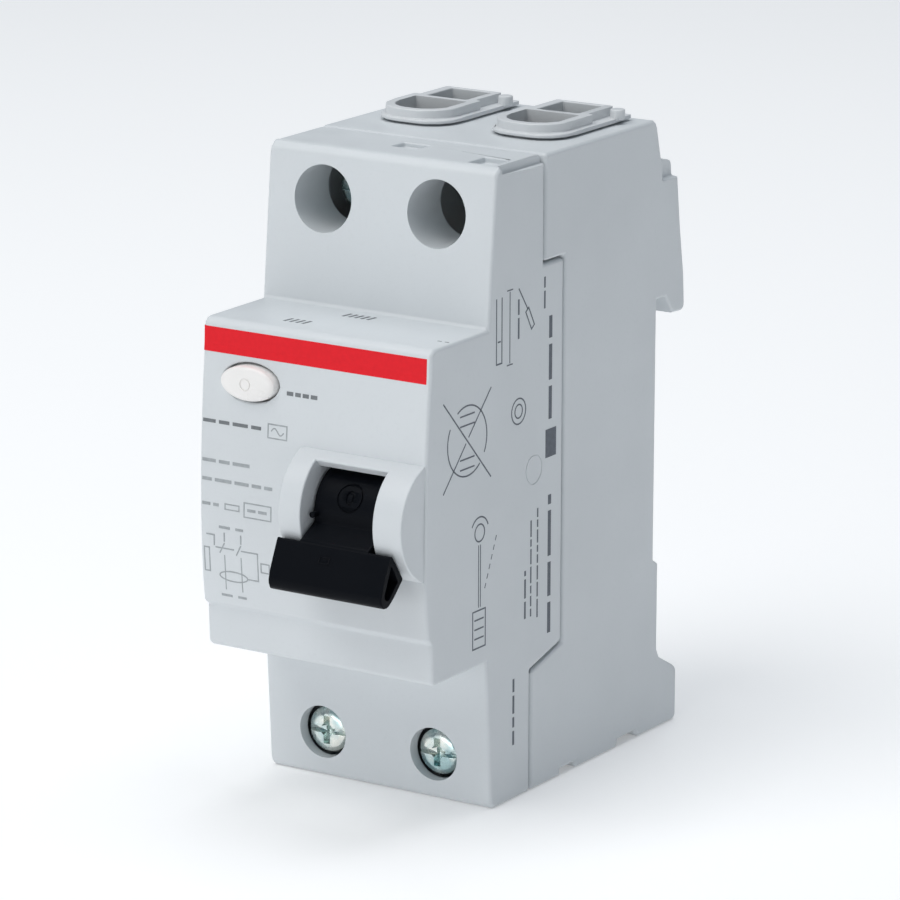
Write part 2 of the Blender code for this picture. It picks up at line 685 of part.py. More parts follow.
def make_fixed_conductors():
    core_x, core_y, core_z = CORE_CENTRE
    for side, sign in sides():
        pole = sign * POLE
        width = about_pole(sign, BAR_HALF_WIDTH)
        depth = (BAR_FRONT, BAR_BACK)
        pad_y = (BAR_BACK - 0.5, CONTACT_FACE - GAP)
        contact_z = CARRIER_Z + CONTACT_REACH
        upper = block("upper_contact_bar_" + side, width, depth, (11.4, 39.8), COPPER)
        fuse(upper, rod_y("fixed_pad_" + side, PAD_RADIUS, pole, pad_y, contact_z, None, 12))
        block("lower_terminal_bar_" + side, width, depth, (-40.2, -21.2), COPPER)
        conductor(
            "primary_conductor_" + side,
            1.0,
            [
                (pole, -17.2, -9.3),
                (sign * 6.0, -15.6, -9.6),
                (sign * 3.4, -14.3, -10.5),
                (sign * 2.6, core_y, -12.4),
                (sign * 2.6, core_y, -20.4),
                (sign * 3.8, -14.4, -22.1),
                (sign * 7.6, -16.6, -22.3),
                (pole, -18.2, -22.3),
                (pole, BAR_BACK + GAP, -22.3),
            ],
        )
        back = about_pole(sign, 4.6)
        fin = about_pole(sign, 4.4)
        chute = block("arc_chute_" + side, back, (-3.4, -2.6), (10.8, 22.2), FRAME_STEEL)
        plates = [
            block(f"arc_plate_{side}_{index}", fin, (-9.5, -3.0), (z, z + 0.8))
            for index, z in enumerate((11.0, 13.6, 16.2, 18.8, 21.2))
        ]
        fuse(chute, *plates)
    low = (core_x, core_y, core_z - CORE_HALF_HEIGHT)
    high = (core_x, core_y, core_z + CORE_HALF_HEIGHT)
    core = rod("transformer_core", CORE_RADII[1], low, high, FERRITE, 32)
    below = (core_x, core_y, low[2] - 4.6)
    above = (core_x, core_y, high[2] + 4.6)
    cut(core, rod("core_hole", CORE_RADII[0], below, above, None, 32))
    make_winding()


def make_winding():
    """A bobbin-like sleeve round the front of the core."""
    core_x, core_y, core_z = CORE_CENTRE
    wedge = [(core_x, core_y, 0), (core_x - 6.3, core_y - 14.0, 0), (core_x + 6.3, core_y - 14.0, 0)]
    layers = (
        ("winding_outside", CORE_RADII[1] + 1.2, CORE_HALF_HEIGHT + 1.0),
        ("winding_core_room", CORE_RADII[1] + GAP, CORE_HALF_HEIGHT + GAP),
        ("winding_inside", CORE_RADII[0] - GAP, CORE_HALF_HEIGHT + 3.0),
        ("winding_hole", CORE_RADII[0] - 1.0, CORE_HALF_HEIGHT + 6.0),
    )
    winding = plate("secondary_winding", wedge, "Z", (core_z - 5.4, core_z + 5.4), COPPER)
    outside, room, inside, hole = (
        rod(name, radius, (core_x, core_y, core_z - half), (core_x, core_y, core_z + half), None, 32)
        for name, radius, half in layers
    )
    cut(room, inside)
    trim = winding.modifiers.new("winding_trim", "BOOLEAN")
    trim.operation = "INTERSECT"
    trim.object = outside
    cut(winding, room, hole)


def make_mechanism_frame():
    outline = [
        (-31.5, -13.0, 1.0),
        (-31.5, -6.5, 1.0),
        (-13.5, 2.0, 1.5),
        (-9.0, 1.0, 1.5),
        (-9.0, -5.5, 1.5),
        (-24.0, -13.0, 1.0),
    ]
    axle_hole = AXLE_RADIUS + GAP
    pin_hole = TRIP_PIN_RADIUS + GAP
    for side, sign in sides():
        across = (sign * 13.0, sign * 17.0)
        made = plate("frame_plate_" + side, outline, "X", (sign * 14.2, sign * 15.4), FRAME_STEEL)
        cut(
            made,
            rod_x("frame_axle_hole_" + side, axle_hole, across, CARRIER_Y, CARRIER_Z, None, 16),
            rod_x("frame_pin_hole_" + side, pin_hole, across, TRIP_Y, TRIP_Z, None, 12),
        )


def make_trip_unit():
    latch = rod_x("trip_latch", 2.1, (-12.0, 3.5), TRIP_Y, TRIP_Z, INSULATOR, 16)
    pad_front = -32.2
    pad_back = pad_front + 1.6
    foot = [
        (pad_front, -18.6, 0),
        (pad_back, -18.6, 0),
        (pad_back, -13.0, 0),
        (TRIP_Y + 1.2, TRIP_Z - 1.2, 0),
        (TRIP_Y - 1.2, TRIP_Z + 1.2, 0),
        (pad_front, -13.8, 0),
    ]
    hook = [
        (TRIP_Y - 1.0, TRIP_Z, 0),
        (TRIP_Y + 1.0, TRIP_Z, 0),
        (TRIP_Y + 1.0, -3.2, 0),
        (TRIP_Y - 2.6, -3.2, 0),
        (TRIP_Y - 2.6, -4.6, 0),
        (TRIP_Y - 1.0, -4.6, 0),
    ]
    fuse(
        latch,
        plate("trip_foot", foot, "X", (-11.6, -8.0)),
        plate("trip_hook", hook, "X", (-1.2, 1.4)),
    )
    bore = TRIP_PIN_RADIUS + GAP
    cut(latch, rod_x("trip_bore", bore, (-13.0, 5.0), TRIP_Y, TRIP_Z, None, 12))
    move_origin(latch, (0.0, TRIP_Y, TRIP_Z))
    rod_x("trip_latch_pin", TRIP_PIN_RADIUS, (-15.6, 15.6), TRIP_Y, TRIP_Z, SPRING_STEEL, 12)
    spring("trip_latch_spring", 1.8, 0.25, 3, (4.2, TRIP_Y, TRIP_Z), (7.4, TRIP_Y, TRIP_Z))
    relay = block("trip_relay", (-15.6, -4.0), (-47.0, -35.0), (-20.3, -12.6), RELAY_BLUE)
    cut(relay, rod_y("relay_bore", 1.6, RELAY_X, (-42.0, -34.0), RELAY_Z, None, 16))
    plunger = rod_y("relay_plunger", 1.25, RELAY_X, (-40.5, -32.5), RELAY_Z, SPRING_STEEL, 16)
    move_origin(plunger, (RELAY_X, -36.0, RELAY_Z))


def make_terminal_screw(name, sign, height):
    pole = sign * POLE
    face = HEAD_FACE[name]
    under_head = face + SCREW_HEAD_HEIGHT
    shank_y = (under_head - 0.5, BAR_FRONT - GAP)
    slot_z = (height - 0.45, height + 0.45)
    cross_z = (height - 1.9, height + 1.9)
    screw = rod_y("terminal_screw_" + name, SCREW_HEAD_RADIUS, pole, (face, under_head), height, ZINC)
    fuse(screw, rod_y("shank_" + name, SCREW_SHANK_RADIUS, pole, shank_y, height, None, 16))
    cut(
        screw,
        block("slot_" + name, about_pole(sign, 4.0), (face - 1.0, face + 1.0), slot_z),
        block("cross_" + name, about_pole(sign, 0.55), (face - 1.0, face + 1.5), cross_z),
    )
    move_origin(screw, (pole, face, height))


def make_terminal_cage(name, sign, height):
    pole = sign * POLE
    width = about_pole(sign, CAGE_HALF_WIDTH)
    across = (height - CAGE_HALF_HEIGHT, height + CAGE_HALF_HEIGHT)
    through = (across[0] - 1.0, across[1] + 1.0)
    cable = about_pole(sign, CAGE_HALF_WIDTH - 0.9)
    busbar = about_pole(sign, CAGE_HALF_WIDTH - 1.1)
    frame = arched(width, CAGE_BACK, CAGE_FRONT, 0.8, 0.8)
    cage = plate("terminal_cage_" + name, frame, "Z", across, ZINC)
    cut(
        cage,
        block("cable_window_" + name, cable, (-22.3, -10.4), through),
        block("busbar_window_" + name, busbar, (-9.6, -4.5), through),
        rod_y("thread_" + name, SCREW_SHANK_RADIUS + GAP, pole, (-25.0, -21.0), height, None, 16),
    )
    move_origin(cage, (pole, CAGE_FRONT, height))


def make_terminals():
    for level, height in (("upper", SCREW_Z_UPPER), ("lower", SCREW_Z_LOWER)):
        for side, sign in sides():
            name = f"{level}_{side}"
            make_terminal_screw(name, sign, height)
            make_terminal_cage(name, sign, height)


def make_test_circuit():
    half_x, half_z = TEST_HALF
    cap = oval(TEST_X, TEST_Z, half_x, half_z)
    flange = oval(TEST_X, TEST_Z, half_x + 1.0, half_z + 0.9)
    inside = (NOSE_INNER + GAP, NOSE_INNER + 1.1)
    button = plate("test_button", cap, "Y", (TEST_FACE, inside[0] + 0.7), BUTTON_IVORY)
    fuse(
        button,
        plate("test_flange", flange, "Y", inside),
        rod_y("test_stem", 1.6, TEST_X, (inside[0] + 0.3, -43.4), TEST_Z, None, 16),
    )
    move_origin(button, (TEST_X, TEST_FACE, TEST_Z))
    guide = block("test_button_guide", (-15.7, -4.0), (-46.6, -45.4), (9.0, 20.1), INSULATOR)
    cut(guide, rod_y("guide_hole", 1.9, TEST_X, (-48.0, -44.0), TEST_Z, None, 16))
    spring_ends = ((TEST_X, -52.5, TEST_Z), (TEST_X, -47.0, TEST_Z))
    spring("test_button_spring", 2.3, 0.22, 4, *spring_ends)
    blade_foot = 4.4
    blade = block(
        "test_blade", (TEST_X - 2.0, TEST_X + 2.0), (-43.1, -42.6), (blade_foot, 16.0), COPPER
    )
    move_origin(blade, (TEST_X, -42.85, blade_foot))
    block("test_contact_post", (TEST_X - 1.5, TEST_X + 1.5), (-40.8, -38.0), (13.0, 16.0), COPPER)
    resistor = rod_x("test_resistor", 1.5, (-14.0, -5.6), -34.0, 17.0, RESISTOR, 16)
    fuse(resistor, rod_x("resistor_leads", 0.35, (-15.6, -4.0), -34.0, 17.0, None, 8))


make_base_housing()
make_front_cover()
make_terminal_collars()
make_rail_latch()
make_handle()
make_drive_link()
make_contact_carrier()
make_fixed_conductors()
make_mechanism_frame()
make_trip_unit()
make_terminals()
make_test_circuit()
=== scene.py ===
import json
import math
import random

import bmesh
import bpy
from mathutils import Matrix, Vector
from mathutils.bvhtree import BVHTree

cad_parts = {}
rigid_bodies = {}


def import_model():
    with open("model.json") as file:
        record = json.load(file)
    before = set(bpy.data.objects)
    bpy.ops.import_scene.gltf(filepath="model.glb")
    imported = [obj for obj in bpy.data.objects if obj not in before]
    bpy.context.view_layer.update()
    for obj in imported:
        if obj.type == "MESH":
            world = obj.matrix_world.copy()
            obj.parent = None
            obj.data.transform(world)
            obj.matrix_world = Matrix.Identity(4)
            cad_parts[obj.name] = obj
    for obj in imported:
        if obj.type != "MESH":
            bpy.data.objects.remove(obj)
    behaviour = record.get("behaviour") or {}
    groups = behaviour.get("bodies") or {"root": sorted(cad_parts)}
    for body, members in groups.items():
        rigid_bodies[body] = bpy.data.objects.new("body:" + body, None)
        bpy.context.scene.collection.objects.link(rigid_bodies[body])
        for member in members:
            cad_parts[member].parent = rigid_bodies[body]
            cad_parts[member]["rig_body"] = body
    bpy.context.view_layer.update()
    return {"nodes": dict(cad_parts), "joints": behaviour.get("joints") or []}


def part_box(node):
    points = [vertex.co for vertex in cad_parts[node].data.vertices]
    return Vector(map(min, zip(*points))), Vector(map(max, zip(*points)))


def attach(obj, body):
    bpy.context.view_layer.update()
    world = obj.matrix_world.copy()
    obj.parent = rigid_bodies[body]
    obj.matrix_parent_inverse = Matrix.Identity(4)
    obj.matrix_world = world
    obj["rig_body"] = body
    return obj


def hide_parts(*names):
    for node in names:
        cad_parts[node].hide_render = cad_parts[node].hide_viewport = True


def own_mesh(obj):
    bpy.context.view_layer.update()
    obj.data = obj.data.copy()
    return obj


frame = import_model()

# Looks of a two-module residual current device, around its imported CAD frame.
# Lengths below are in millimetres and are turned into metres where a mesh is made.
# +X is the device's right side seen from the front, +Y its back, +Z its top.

MM = 0.001
NODES = frame["nodes"]
HOUSING_LOW, HOUSING_HIGH = (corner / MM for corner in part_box("base_housing"))
HALF_WIDTH = HOUSING_HIGH.x
POLE = HALF_WIDTH / 2

# Front face of the nose
NOSE_FRONT = -56.7
NOSE_BULGE_Z = -4.5
NOSE_DROP = 1.4
NOSE_RISE = (16.5, 24.5)
NOSE_CORNER = (21.9, -55.35)
NOSE_CURVE_TOP = 18.5
EDGE_ROUND = 0.5

# Mesh clean-up
SPLIT_CORNER = 2e-7         # metres between two copies of one corner
SAME_CORNER = 1e-6          # metres between corners that a Boolean left apart
SLIVER_EDGE = 1.3           # edges shorter than this many bevel widths end no bevel
STRAY_CORNER = 0.6          # bevel widths that a corner may lie off the unbevelled shape

# Printed marks
INK_PROUD = 0.02
INK_SUNK = 0.12
FINE_LINE = 0.16
SIDE_LINE = 0.2
STRIPE_LEVELS = (17.5, 18.0, NOSE_CURVE_TOP, 19.6, 20.75)

# Handle
HANDLE_Y, HANDLE_Z = (value / MM for value in next(
    joint["pos_m"] for joint in frame["joints"] if joint["name"] == "toggle_hinge")[1:])
DRUM_RADIUS = 5.4
ENGRAVING = 0.2
GRIP_FACE = ((-62.1, -3.2), (-64.8, -9.15))
MARK_ANGLE = 28.5
MARK_X = 7.3

# Test button
DOME_RISE = 0.22

# Terminals
SCREW_Z = {"upper": 35.75, "lower": -36.3}
HOLE_RADIUS = {"upper": 4.4, "lower": 3.6}
HOLE_MOUTH_Y = -44.0
HOLE_END_Y = {"upper": -32.0, "lower": -37.0}
HOLE_CLEARANCE = 0.04
THREAD_ROOT, THREAD_CREST = 2.12, 2.38
THREAD_PITCH = 0.8
THREAD_START = 2.5
THREAD_END = 0.9
SLOT_DEPTH = 0.95
CROSS_DEPTH = 1.45

# Springs that shorten with a joint
LATCH_SPRING_ENDS = ((0.0, 2.6, -24.6), (0.0, 2.6, -31.4))
BUTTON_SPRING_Y = (-52.5, -47.0)

# Ejector mark on the cover's right side
EJECTOR_Y, EJECTOR_Z = -31.0, 1.2
EJECTOR_DEPTH = 0.07


# ---------------------------------------------------------------- materials

def start_material(name, roughness, metallic=0.0, specular=0.5):
    made = bpy.data.materials.new(name)
    made.use_nodes = True
    shader = made.node_tree.nodes["Principled BSDF"]
    shader.inputs["Roughness"].default_value = roughness
    shader.inputs["Metallic"].default_value = metallic
    shader.inputs["Specular IOR Level"].default_value = specular
    place = made.node_tree.nodes.new("ShaderNodeTexCoord")
    return made, shader, place.outputs["Object"]


def noise(material, place, scale, detail=3.0, stretch=None):
    """Noise whose grains are about 1/scale metres across."""
    tree = material.node_tree
    if stretch is not None:
        mapping = tree.nodes.new("ShaderNodeMapping")
        mapping.inputs["Scale"].default_value = stretch
        tree.links.new(place, mapping.inputs["Vector"])
        place = mapping.outputs["Vector"]
    made = tree.nodes.new("ShaderNodeTexNoise")
    made.inputs["Scale"].default_value = scale
    made.inputs["Detail"].default_value = detail
    tree.links.new(place, made.inputs["Vector"])
    return made.outputs["Fac"]


def spread(material, value, low, high, start=0.3, end=0.7):
    """A value stretched from start..end to low..high."""
    made = material.node_tree.nodes.new("ShaderNodeMapRange")
    for name, number in (("From Min", start), ("From Max", end), ("To Min", low), ("To Max", high)):
        made.inputs[name].default_value = number
    material.node_tree.links.new(value, made.inputs["Value"])
    return made.outputs["Result"]


def mix(material, factor, first, second):
    """Two colours, or colour outputs, mixed by a factor."""
    made = material.node_tree.nodes.new("ShaderNodeMix")
    made.data_type = "RGBA"
    material.node_tree.links.new(factor, made.inputs["Factor"])
    for socket, colour in ((made.inputs["A"], first), (made.inputs["B"], second)):
        if isinstance(colour, bpy.types.NodeSocket):
            material.node_tree.links.new(colour, socket)
        else:
            socket.default_value = (*colour, 1.0)
    return made.outputs["Result"]


def bump(material, shader, height, distance, strength=1.0, under=None):
    """Relief of at most the distance in millimetres."""
    made = material.node_tree.nodes.new("ShaderNodeBump")
    made.inputs["Distance"].default_value = distance * MM
    made.inputs["Strength"].default_value = strength
    material.node_tree.links.new(height, made.inputs["Height"])
    if under is not None:
        material.node_tree.links.new(under, made.inputs["Normal"])
    material.node_tree.links.new(made.outputs["Normal"], shader.inputs["Normal"])
    return made.outputs["Normal"]


def shade(colour, factor):
    """A lighter or darker colour."""
    return tuple(min(1.0, channel * factor) for channel in colour)


def moulded_plastic(name, colour, roughness, relief=0.012, mottle=0.025, scuff=0.06, specular=0.5):
    """Spark-eroded tool texture, a slow drift of tone, and faint rubbed patches."""
    made, shader, place = start_material(name, roughness, 0.0, specular)
    link = made.node_tree.links.new
    drift = noise(made, place, 45.0, 2.0)
    speckle = noise(made, place, 1900.0, 2.0)
    rubbed = noise(made, place, 260.0, 5.0)
    tone = mix(made, spread(made, drift, 0.0, 1.0), shade(colour, 1 - mottle), shade(colour, 1 + mottle))
    darker = shade(colour, 1 - 2.2 * mottle)
    tone = mix(made, spread(made, speckle, 0.0, 0.35, 0.55, 0.8), tone, darker)
    link(tone, shader.inputs["Base Color"])
    gloss = spread(made, rubbed, roughness - scuff, roughness + scuff, 0.35, 0.65)
    link(gloss, shader.inputs["Roughness"])
    peel = bump(made, shader, noise(made, place, 420.0, 1.0), relief * 1.2, 0.5)
    bump(made, shader, noise(made, place, 4200.0, 3.0), relief, 0.8, peel)
    return made


def plated_metal(name, colour, tint, roughness, grain=900.0, relief=0.006, stretch=None):
    """Metal whose plating drifts between two tints, with fine scratches."""
    made, shader, place = start_material(name, roughness, 1.0)
    link = made.node_tree.links.new
    drift = noise(made, place, 330.0, 3.0)
    link(mix(made, spread(made, drift, 0.0, 1.0, 0.4, 0.62), colour, tint), shader.inputs["Base Color"])
    scratched = noise(made, place, grain, 6.0, stretch)
    link(spread(made, scratched, roughness * 0.7, roughness * 1.5), shader.inputs["Roughness"])
    bump(made, shader, scratched, relief, 0.6)
    return made


def printed_ink(name, colour, uneven=0.1):
    """Pad-printed ink, a little uneven in density."""
    made, shader, place = start_material(name, 0.6, 0.0, 0.15)
    density = noise(made, place, 1500.0, 3.0)
    thin, thick = shade(colour, 1 - uneven), shade(colour, 1 + uneven)
    tone = mix(made, spread(made, density, 0.0, 1.0), thin, thick)
    made.node_tree.links.new(tone, shader.inputs["Base Color"])
    bump(made, shader, density, 0.003, 0.5)
    return made


def wound_wire(name, colour, tint, wire):
    """Lacquered wire laid side by side."""
    made = plated_metal(name, colour, tint, 0.32)
    tree = made.node_tree
    bands = tree.nodes.new("ShaderNodeTexWave")
    bands.bands_direction = "X"
    bands.inputs["Scale"].default_value = math.pi / (10 * wire * MM)
    bands.inputs["Distortion"].default_value = 0.4
    place = next(node for node in tree.nodes if node.type == "TEX_COORD").outputs["Object"]
    tree.links.new(place, bands.inputs["Vector"])
    bump(made, tree.nodes["Principled BSDF"], bands.outputs["Fac"], wire / 3)
    return made


HOUSING_GREY = moulded_plastic("housing_plastic", (0.66, 0.69, 0.71), 0.42)
COLLAR_GREY = moulded_plastic("collar_plastic", (0.67, 0.69, 0.705), 0.4)
LATCH_GREY = moulded_plastic("latch_plastic", (0.6, 0.62, 0.635), 0.45)
HANDLE_BLACK = moulded_plastic("handle_plastic", (0.0045, 0.0055, 0.0078), 0.42, 0.012, 0.1, 0.05, 0.05)
BUTTON_IVORY = moulded_plastic("button_plastic", (0.88, 0.86, 0.84), 0.3, 0.004, 0.012)
STRIPE_RED = printed_ink("stripe_red", (0.78, 0.016, 0.026), 0.03)
INK_GREY = printed_ink("ink_grey", (0.19, 0.205, 0.215))
INK_LIGHT = printed_ink("ink_light_grey", (0.37, 0.395, 0.41))
INK_SIDE = printed_ink("ink_side_grey", (0.15, 0.165, 0.19))
ZINC = plated_metal("zinc_plating", (0.46, 0.63, 0.64), (0.88, 0.89, 0.83), 0.22)
COPPER = plated_metal("copper_bar", (0.78, 0.41, 0.27), (0.62, 0.31, 0.2), 0.3, 700.0,
                      stretch=(1, 1, 0.15))
SPRING_STEEL = plated_metal("spring_steel_wire", (0.5, 0.5, 0.49), (0.36, 0.36, 0.37), 0.28, 1600.0)
FRAME_STEEL = plated_metal("frame_steel_sheet", (0.56, 0.57, 0.57), (0.47, 0.48, 0.49), 0.36, 500.0,
                           0.008, (1, 0.12, 1))
WINDING = wound_wire("winding_wire", (0.6, 0.25, 0.12), (0.7, 0.33, 0.17), 0.32)
CORE_ALLOY = plated_metal("core_alloy_ring", (0.2, 0.2, 0.22), (0.28, 0.27, 0.27), 0.42, 1200.0,
                          0.01, (1, 1, 8))
INSULATOR = moulded_plastic("insulator_plastic", (0.06, 0.06, 0.067), 0.48, 0.02, 0.1)
RELAY_BLUE = moulded_plastic("relay_case_plastic", (0.07, 0.13, 0.25), 0.4, 0.01, 0.06)
RESISTOR_BODY = moulded_plastic("resistor_lacquer", (0.3, 0.46, 0.5), 0.35, 0.006, 0.05)

SLOT_OF = {
    "base_housing": ("housing", HOUSING_GREY), "front_cover": ("housing", HOUSING_GREY),
    "terminal_collar": ("housing", COLLAR_GREY), "rail_latch": ("housing", LATCH_GREY),
    "toggle_lever": ("handle", HANDLE_BLACK), "test_button": ("button", BUTTON_IVORY),
    "terminal_screw": ("zinc", ZINC), "terminal_cage": ("zinc", ZINC),
    "upper_contact_bar": ("copper", COPPER), "lower_terminal_bar": ("copper", COPPER),
    "primary_conductor": ("copper", COPPER), "moving_contact": ("copper", COPPER),
    "secondary_winding": ("copper", WINDING), "test_contact_post": ("copper", COPPER),
    "frame_plate": ("frame_steel", FRAME_STEEL), "drive_link": ("frame_steel", FRAME_STEEL),
    "arc_chute": ("frame_steel", FRAME_STEEL), "toggle_axle": ("spring_steel", SPRING_STEEL),
    "carrier_axle": ("spring_steel", SPRING_STEEL), "trip_latch_pin": ("spring_steel", SPRING_STEEL),
    "relay_plunger": ("spring_steel", SPRING_STEEL), "test_blade": ("spring_steel", SPRING_STEEL),
    "contact_carrier": ("insulator", INSULATOR), "trip_latch": ("insulator", INSULATOR),
    "test_button_guide": ("insulator", INSULATOR), "trip_relay": ("relay_case", RELAY_BLUE),
    "transformer_core": ("core_alloy", CORE_ALLOY), "test_resistor": ("resistor", RESISTOR_BODY),
}


def finish_of(node):
    """The record slot and the material of a CAD node, by the longest matching name."""
    if "spring" in node:
        return "spring_steel", SPRING_STEEL
    return SLOT_OF[max((key for key in SLOT_OF if node.startswith(key)), key=len)]


# ---------------------------------------------------------------- mesh tools

def new_object(name, mesh):
    made = bpy.data.objects.new(name, mesh)
    bpy.context.scene.collection.objects.link(made)
    return made


def add_piece(name, mesh, material, body, replaced=()):
    """A shown piece that rides on a body and may stand for CAD nodes."""
    made = new_object(name, mesh)
    mesh.materials.clear()
    mesh.materials.append(material)
    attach(made, body)
    if replaced:
        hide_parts(*replaced)
    return made


def stand_in(node, name, mesh):
    """A finer piece shown in place of one CAD node, on the same body and with its slot's material."""
    slot, material = finish_of(node)
    return add_piece(name, mesh, material, NODES[node]["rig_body"], (node,))


def extent(node):
    """Two corners of a CAD node's box at rest, and the X and Z of its middle."""
    low, high = (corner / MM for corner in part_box(node))
    return low, high, (low.x + high.x) / 2, (low.z + high.z) / 2


def from_bmesh(name, built):
    bmesh.ops.recalc_face_normals(built, faces=built.faces)
    mesh = bpy.data.meshes.new(name)
    built.to_mesh(mesh)
    built.free()
    return mesh


def smooth(mesh, angle=38.0):
    mesh.shade_smooth()
    mesh.set_sharp_from_angle(angle=math.radians(angle))
    return mesh


def weigh_normals(made):
    """Keeps large flats evenly shaded next to their rounded edges."""
    even = made.modifiers.new("even_flats", "WEIGHTED_NORMAL")
    even.keep_sharp = True
    even.weight = 80


def block(x, y, z):
    """A box mesh between two values on each axis."""
    low = Vector((min(x), min(y), min(z))) * MM
    high = Vector((max(x), max(y), max(z))) * MM
    built = bmesh.new()
    bmesh.ops.create_cube(built, size=1.0)
    bmesh.ops.scale(built, vec=high - low, verts=built.verts)
    bmesh.ops.translate(built, vec=(low + high) / 2, verts=built.verts)
    return from_bmesh("block", built)


def rod(radius, start, end, segments=96, end_radius=None):
    """A round bar or cone between two points."""
    start, end = Vector(start) * MM, Vector(end) * MM
    turn = (end - start).to_track_quat("Z", "Y").to_matrix().to_4x4()
    built = bmesh.new()
    bmesh.ops.create_cone(
        built,
        cap_ends=True,
        segments=segments,
        radius1=radius * MM,
        radius2=(radius if end_radius is None else end_radius) * MM,
        depth=(end - start).length,
        matrix=Matrix.Translation((start + end) / 2) @ turn,
    )
    return from_bmesh("rod", built)


def prism(outline, axis, span):
    """An outline in (Y, Z), (X, Z) or (X, Y) pulled along the remaining axis."""
    order = {"X": (2, 0, 1), "Y": (0, 2, 1), "Z": (0, 1, 2)}[axis]
    built = bmesh.new()
    rings = []
    for along in span:
        ring = []
        for u, v in outline:
            values = (u, v, along)
            ring.append(built.verts.new(Vector([values[index] for index in order]) * MM))
        rings.append(ring)
    built.faces.new(rings[0])
    built.faces.new(rings[1])
    count = len(outline)
    for index in range(count):
        after = (index + 1) % count
        built.faces.new((rings[0][index], rings[0][after], rings[1][after], rings[1][index]))
    return from_bmesh("prism", built)


def turned(profile, start, direction, segments=64):
    """A turned piece: profile of (radius, distance along the axis), from tip to tip."""
    built = bmesh.new()
    side = Vector((0, 0, 1)) if abs(direction[2]) < 0.5 else Vector((1, 0, 0))
    along = Vector(direction).normalized()
    other = along.cross(side).normalized()
    start = Vector(start)
    rings = []
    for radius, distance in profile:
        middle = start + along * distance
        if radius == 0:
            rings.append([built.verts.new(middle * MM)])
            continue
        rings.append([
            built.verts.new((middle + (side * math.cos(turn) + other * math.sin(turn)) * radius) * MM)
            for turn in (math.tau * step / segments for step in range(segments))
        ])
    for first, second in zip(rings, rings[1:]):
        for step in range(segments):
            after = (step + 1) % segments
            if len(first) == 1:
                built.faces.new((first[0], second[after], second[step]))
            elif len(second) == 1:
                built.faces.new((first[step], first[after], second[0]))
            else:
                built.faces.new((first[step], first[after], second[after], second[step]))
    return from_bmesh("turned", built)


def soften(mesh, width, steps, angle):
    """The mesh with its sharp edges rounded, except where they end in short slivers."""
    built = bmesh.new()
    built.from_mesh(mesh)
    bmesh.ops.remove_doubles(built, verts=built.verts, dist=SAME_CORNER)
    bmesh.ops.dissolve_limit(built, angle_limit=math.radians(0.4), verts=built.verts, edges=built.edges)
    built.normal_update()
    before = BVHTree.FromBMesh(built)
    shortest = SLIVER_EDGE * width * MM
    short = {corner for edge in built.edges if edge.calc_length() < shortest for corner in edge.verts}
    sharp = [
        edge for edge in built.edges
        if len(edge.link_faces) == 2 and edge.calc_face_angle() > math.radians(angle)
        and not short.intersection(edge.verts)
    ]
    bmesh.ops.bevel(
        built, geom=sharp, offset=width * MM, offset_type="OFFSET", segments=steps, profile=0.5,
        affect="EDGES", clamp_overlap=False, miter_outer="ARC",
    )
    for corner in built.verts:
        nearest, _, _, distance = before.find_nearest(corner.co)
        if distance > STRAY_CORNER * width * MM:
            corner.co = nearest
    return from_bmesh(mesh.name, built)


def combine(mesh, joins=(), cuts=(), edge=0.0, steps=2, angle=35.0):
    """The mesh with other closed meshes joined on and cut out, and its edges rounded."""
    work = new_object("work", mesh)
    tools = []
    for operation, meshes in (("UNION", joins), ("DIFFERENCE", cuts)):
        for tool_mesh in meshes:
            tool = new_object("tool", tool_mesh)
            tool.hide_render = True
            tools.append(tool)
            change = work.modifiers.new(operation, "BOOLEAN")
            change.operation = operation
            change.solver = "EXACT"
            change.object = tool
    evaluated = work.evaluated_get(bpy.context.evaluated_depsgraph_get())
    made = bpy.data.meshes.new_from_object(evaluated)
    for used in (work, *tools):
        bpy.data.objects.remove(used)
    return soften(made, edge, steps, angle) if edge else made


def tube(outer, inner, start, end, segments=64):
    """A closed tube between two points."""
    way = (Vector(end) - Vector(start)).normalized()
    bore = rod(inner, Vector(start) - way, Vector(end) + way, segments)
    return combine(rod(outer, start, end, segments), (), (bore,))


def cad_copy(node):
    """A CAD node's mesh with its split corners welded and its flats merged."""
    built = bmesh.new()
    built.from_mesh(NODES[node].data)
    bmesh.ops.remove_doubles(built, verts=built.verts, dist=SPLIT_CORNER)
    bmesh.ops.dissolve_limit(built, angle_limit=math.radians(0.3), verts=built.verts, edges=built.edges)
    return from_bmesh(node, built)


def moved(mesh, matrix):
    mesh.transform(matrix)
    return mesh


def refine(node, name, joins=(), cuts=(), edge=0.2, steps=2, angle=35.0):
    """A finer piece in place of a CAD node, with softened edges and extra detail."""
    made = stand_in(node, name, smooth(combine(cad_copy(node), joins, cuts, edge, steps, angle)))
    weigh_normals(made)


# ---------------------------------------------------------------- printed marks

def nose_surface(z):
    """Y of the nose's front face at a height."""
    if z > NOSE_CURVE_TOP:
        share = (z - NOSE_CURVE_TOP) / (NOSE_CORNER[0] - NOSE_CURVE_TOP)
        return nose_surface(NOSE_CURVE_TOP) * (1 - share) + NOSE_CORNER[1] * share
    rise = (z - NOSE_BULGE_Z) / NOSE_RISE[z > NOSE_BULGE_Z]
    return NOSE_FRONT + NOSE_DROP * rise * rise


def on_front(x, z, height):
    """A point over the nose's front face, which rolls away at its left and right edges."""
    beyond = min(EDGE_ROUND, max(0.0, abs(x) - (HALF_WIDTH - EDGE_ROUND)))
    roll = EDGE_ROUND - math.sqrt(EDGE_ROUND ** 2 - beyond ** 2)
    return Vector((x, nose_surface(z) + roll - height, z)) * MM


def on_right_side(y, z, height):
    return Vector((HALF_WIDTH + height, y, z)) * MM


